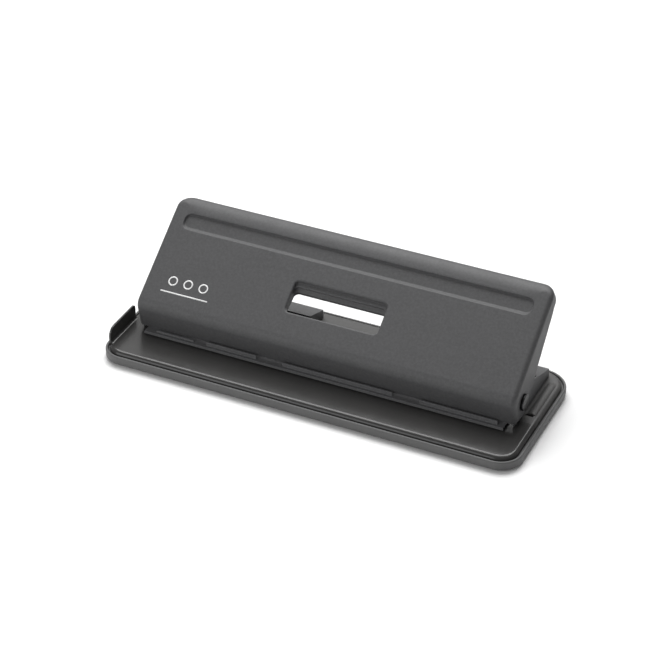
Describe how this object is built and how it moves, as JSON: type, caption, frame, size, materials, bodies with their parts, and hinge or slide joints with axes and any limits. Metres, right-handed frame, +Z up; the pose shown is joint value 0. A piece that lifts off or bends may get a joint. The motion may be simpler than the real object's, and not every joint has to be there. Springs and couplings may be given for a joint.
{
  "type": "three hole punch",
  "caption": "Desktop paper punch: a long hinged press handle over a low base drives spring-loaded punch pins through a stack of sheets.",
  "frame": {"origin": "middle of the footprint, at the underside of the feet", "axes": "+X to the user's right along the length, +Y to the rear, +Z up"},
  "size_m": [0.288, 0.1054, 0.0759],
  "materials": {
    "powder_coat": "satin",
    "tray_plastic": "matte",
    "plated_steel": "satin",
    "hinge_steel": "polished",
    "tool_steel": "polished",
    "spring_steel": "polished",
    "foot_rubber": "matte"
  },
  "bodies": {
    "tray": {"chip_tray": "tray_plastic", "foot_front_left": "foot_rubber", "foot_front_right": "foot_rubber", "foot_rear_left": "foot_rubber", "foot_rear_right": "foot_rubber"},
    "base": {"back_frame_left": "powder_coat", "back_frame_right": "powder_coat", "base_plate": "powder_coat", "bracket_rivet_left_left": "plated_steel", "bracket_rivet_left_right": "plated_steel", "bracket_rivet_middle_left": "plated_steel", "bracket_rivet_middle_right": "plated_steel", "bracket_rivet_right_left": "plated_steel", "bracket_rivet_right_right": "plated_steel", "guide_rivet_left_inner": "plated_steel", "guide_rivet_left_outer": "plated_steel", "guide_rivet_right_inner": "plated_steel", "guide_rivet_right_outer": "plated_steel", "hinge_clip_left": "spring_steel", "hinge_clip_right": "spring_steel", "hinge_pin_left": "hinge_steel", "hinge_pin_right": "hinge_steel", "paper_guide": "powder_coat", "punch_bracket_left": "plated_steel", "punch_bracket_middle": "plated_steel", "punch_bracket_right": "plated_steel", "punch_spring_left": "spring_steel", "punch_spring_middle": "spring_steel", "punch_spring_right": "spring_steel", "spacer_left": "plated_steel", "spacer_right": "plated_steel"},
    "handle": {"handle_shell": "powder_coat", "press_bar": "plated_steel"},
    "punch_left": {"punch_clip_left": "spring_steel", "punch_pin_left": "tool_steel"},
    "punch_middle": {"punch_clip_middle": "spring_steel", "punch_pin_middle": "tool_steel"},
    "punch_right": {"punch_clip_right": "spring_steel", "punch_pin_right": "tool_steel"}
  },
  "joints": [
    {"name": "tray_release", "type": "slide", "parent": "tray", "child": "base", "axis": [0, 0, 1], "range_m": [0, 0.025]},
    {"name": "handle_press", "type": "hinge", "parent": "base", "child": "handle", "pos_m": [0, -0.00755, 0.0225], "axis": [-1, 0, 0], "range_deg": [0, 30], "stiffness_Nm_per_rad": 0.8, "springref_deg": -34.38},
    {"name": "punch_left_slide", "type": "slide", "parent": "base", "child": "punch_left", "axis": [0, 0, -1], "range_m": [0, 0.0056], "deforming": ["punch_spring_left"]},
    {"name": "punch_middle_slide", "type": "slide", "parent": "base", "child": "punch_middle", "axis": [0, 0, -1], "range_m": [0, 0.0056], "deforming": ["punch_spring_middle"]},
    {"name": "punch_right_slide", "type": "slide", "parent": "base", "child": "punch_right", "axis": [0, 0, -1], "range_m": [0, 0.0056], "deforming": ["punch_spring_right"]}
  ],
  "couplings": [
    {"joint": "punch_left_slide", "follows": "handle_press", "m_per_rad": 0.010237},
    {"joint": "punch_middle_slide", "follows": "handle_press", "m_per_rad": 0.010237},
    {"joint": "punch_right_slide", "follows": "handle_press", "m_per_rad": 0.010237}
  ]
}
